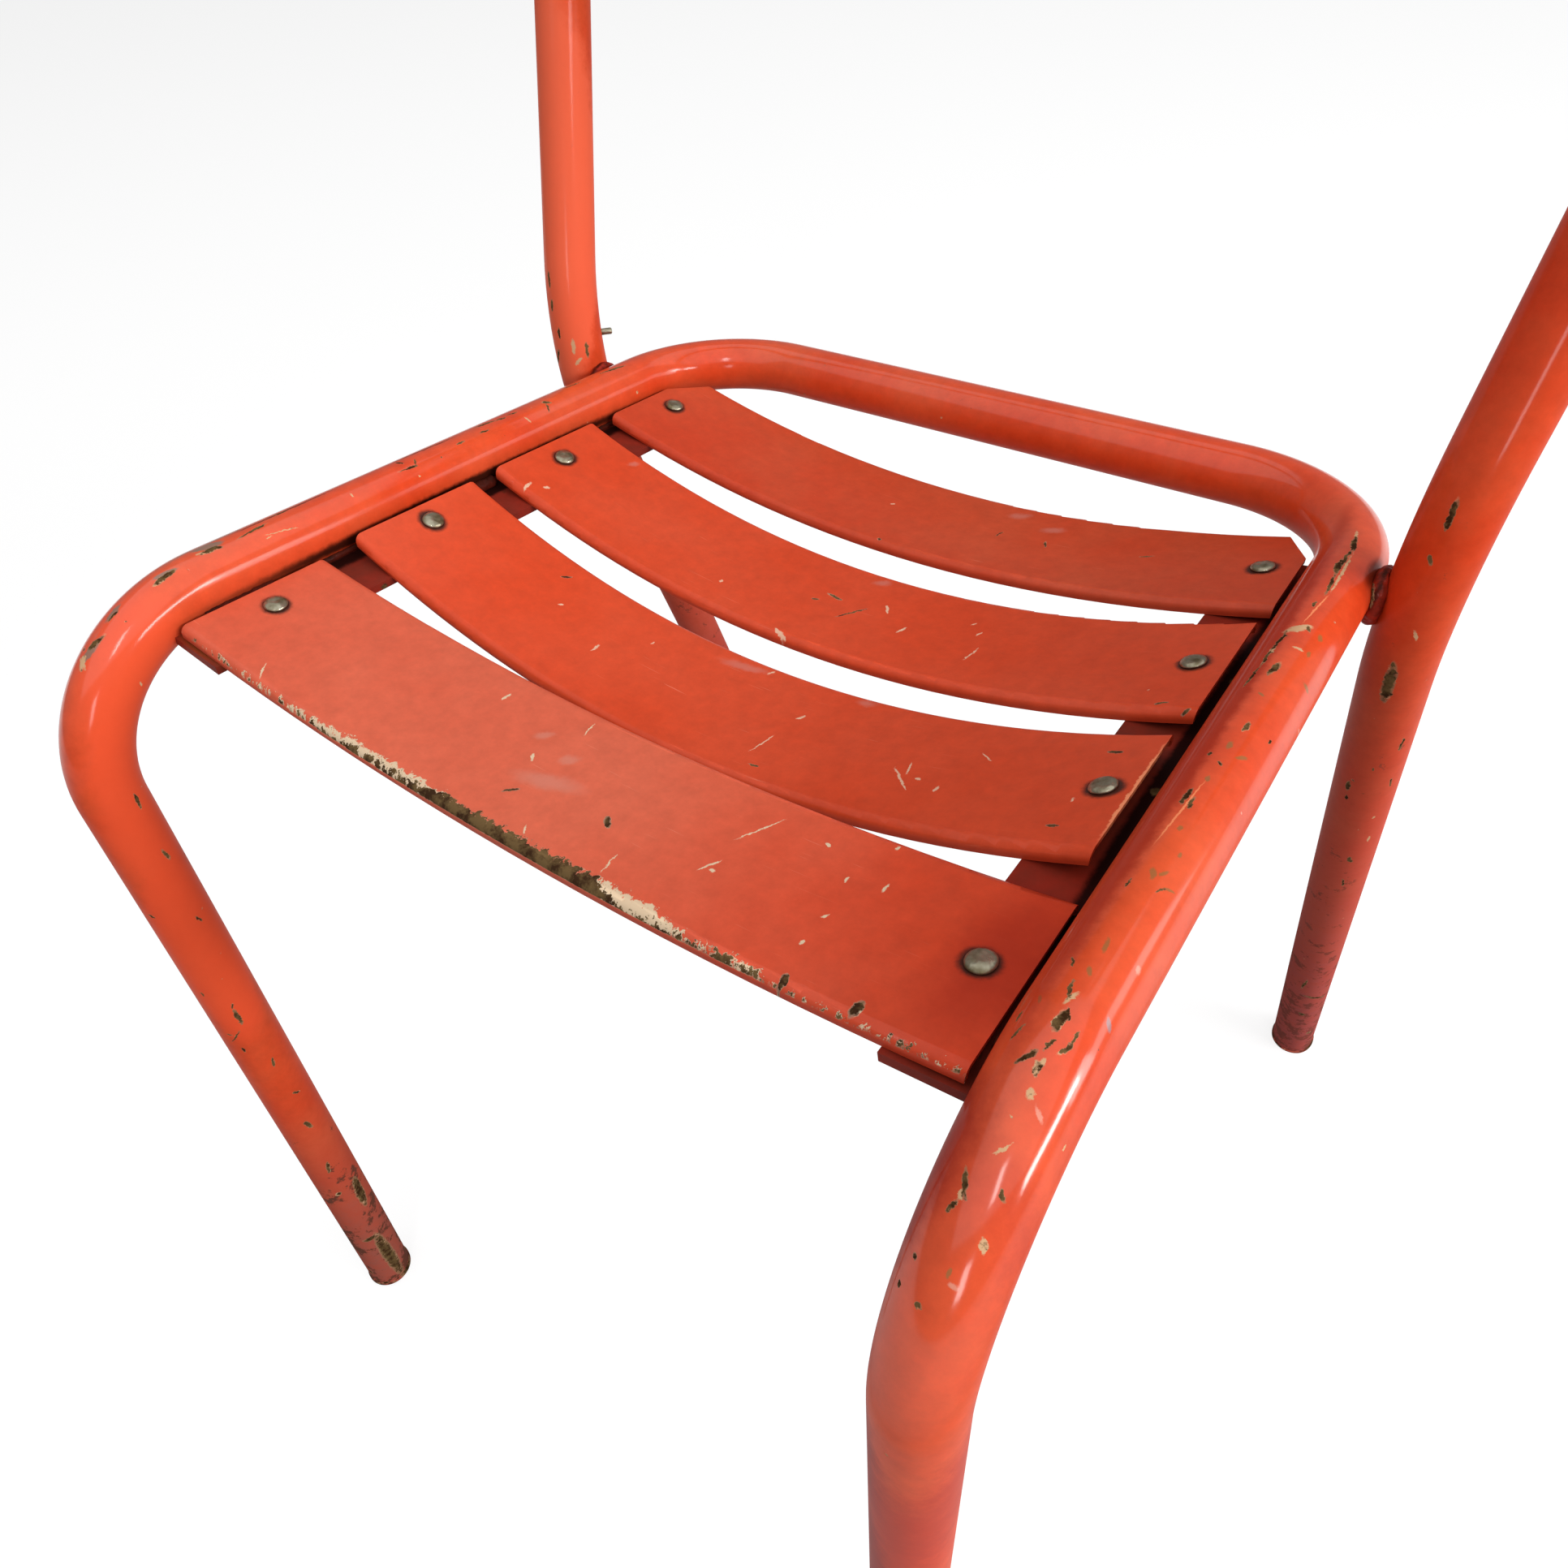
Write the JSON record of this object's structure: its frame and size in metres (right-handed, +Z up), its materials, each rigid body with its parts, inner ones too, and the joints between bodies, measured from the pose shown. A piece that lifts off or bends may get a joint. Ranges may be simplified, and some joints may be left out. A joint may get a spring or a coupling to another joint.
{
  "type": "metal bistro chair",
  "caption": "Bistro chair of bent steel tube with curved pressed sheet slats riveted to ledges inside the frame, in worn orange-red enamel.",
  "frame": {"origin": "on the floor, in the middle of the chair's footprint box", "axes": "+Z up; the sitter faces -Y, so the seat opens towards -Y, the back leans towards +Y, and +X is the sitter's left"},
  "size_m": [0.4296, 0.4834, 0.81],
  "materials": {
    "seat_tube_enamel": "glossy orange-red enamel, chipped and scratched",
    "back_tube_enamel": "glossy orange-red enamel, dusty and chipped on the legs",
    "front_slat_enamel": "faded satin orange-red enamel, worn to primer along the front edge",
    "second_slat_enamel": "satin orange-red enamel with light scratches",
    "third_slat_enamel": "satin orange-red enamel with light scratches",
    "rear_slat_enamel": "satin orange-red enamel with light scratches",
    "back_slat_enamel": "satin orange-red enamel with light scratches",
    "ledge_enamel": "dull dirty red enamel with rust",
    "weld_enamel": "uneven red enamel over weld beads, cracked",
    "foot_cap_enamel": "dusty worn red enamel",
    "rivet_zinc": "dull olive-grey zinc",
    "peg_zinc": "dull olive-grey zinc"
  },
  "bodies": {
    "root": {"seat_frame_tube": "seat_tube_enamel", "back_frame_tube": "back_tube_enamel", "foot_cap_front_left": "foot_cap_enamel", "foot_cap_front_right": "foot_cap_enamel", "foot_cap_rear_left": "foot_cap_enamel", "foot_cap_rear_right": "foot_cap_enamel", "frame_weld_left": "weld_enamel", "frame_weld_right": "weld_enamel", "upright_peg_left": "peg_zinc", "upright_peg_right": "peg_zinc", "seat_slat_front": "front_slat_enamel", "seat_slat_second": "second_slat_enamel", "seat_slat_third": "third_slat_enamel", "seat_slat_rear": "rear_slat_enamel", "seat_rivets": "rivet_zinc", "seat_ledge_left": "ledge_enamel", "seat_ledge_right": "ledge_enamel", "seat_ledge_welds_left": "weld_enamel", "seat_ledge_welds_right": "weld_enamel", "back_slat_lower": "back_slat_enamel", "back_slat_middle": "back_slat_enamel", "back_slat_upper": "back_slat_enamel", "back_rivets": "rivet_zinc", "back_ledge_left": "ledge_enamel", "back_ledge_right": "ledge_enamel", "back_ledge_welds_left": "weld_enamel", "back_ledge_welds_right": "weld_enamel"}
  },
  "joints": []
}
